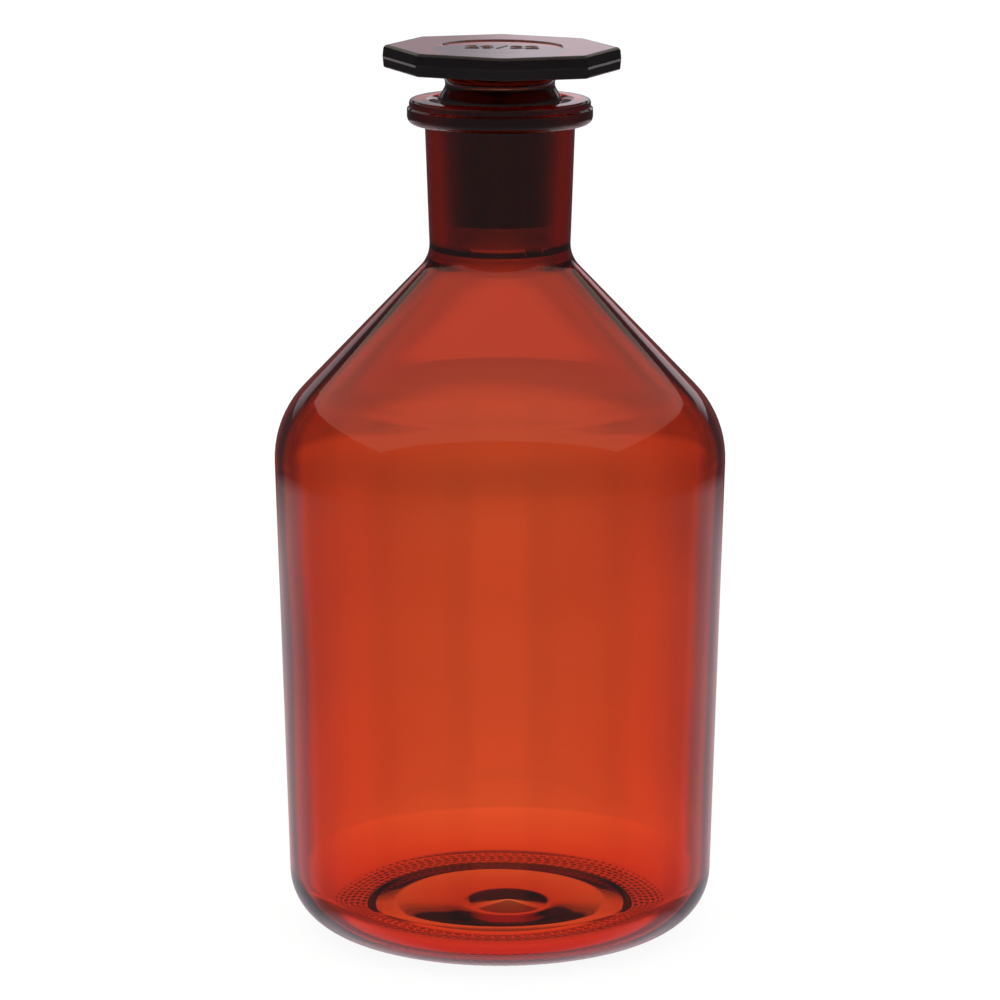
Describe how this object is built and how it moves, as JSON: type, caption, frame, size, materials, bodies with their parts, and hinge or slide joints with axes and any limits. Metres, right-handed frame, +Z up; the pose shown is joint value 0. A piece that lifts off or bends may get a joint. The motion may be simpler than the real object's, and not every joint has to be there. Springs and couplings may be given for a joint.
{
  "type": "reagent bottle",
  "caption": "Round narrow-mouth amber glass reagent bottle with a conical shoulder, flanged neck and ground-in octagonal flat-head stopper.",
  "frame": {"origin": "centre of the base, on the plane that the bottle stands on", "axes": "+Z up along the bottle's axis; a corner of the stopper's octagonal head points along each of X and Y"},
  "size_m": [0.1076, 0.1076, 0.2131],
  "materials": {
    "amber_glass": "clear amber soda-lime glass, fire-polished, with a ground socket in the neck",
    "stopper_glass": "solid pressed amber glass, with a ground plug"
  },
  "bodies": {
    "bottle": {"bottle": "amber_glass"},
    "stopper": {"stopper": "stopper_glass"}
  },
  "joints": [
    {"name": "stopper_lift", "type": "slide", "parent": "bottle", "child": "stopper", "axis": [0, 0, 1], "range_m": [0, 0.08]}
  ]
}
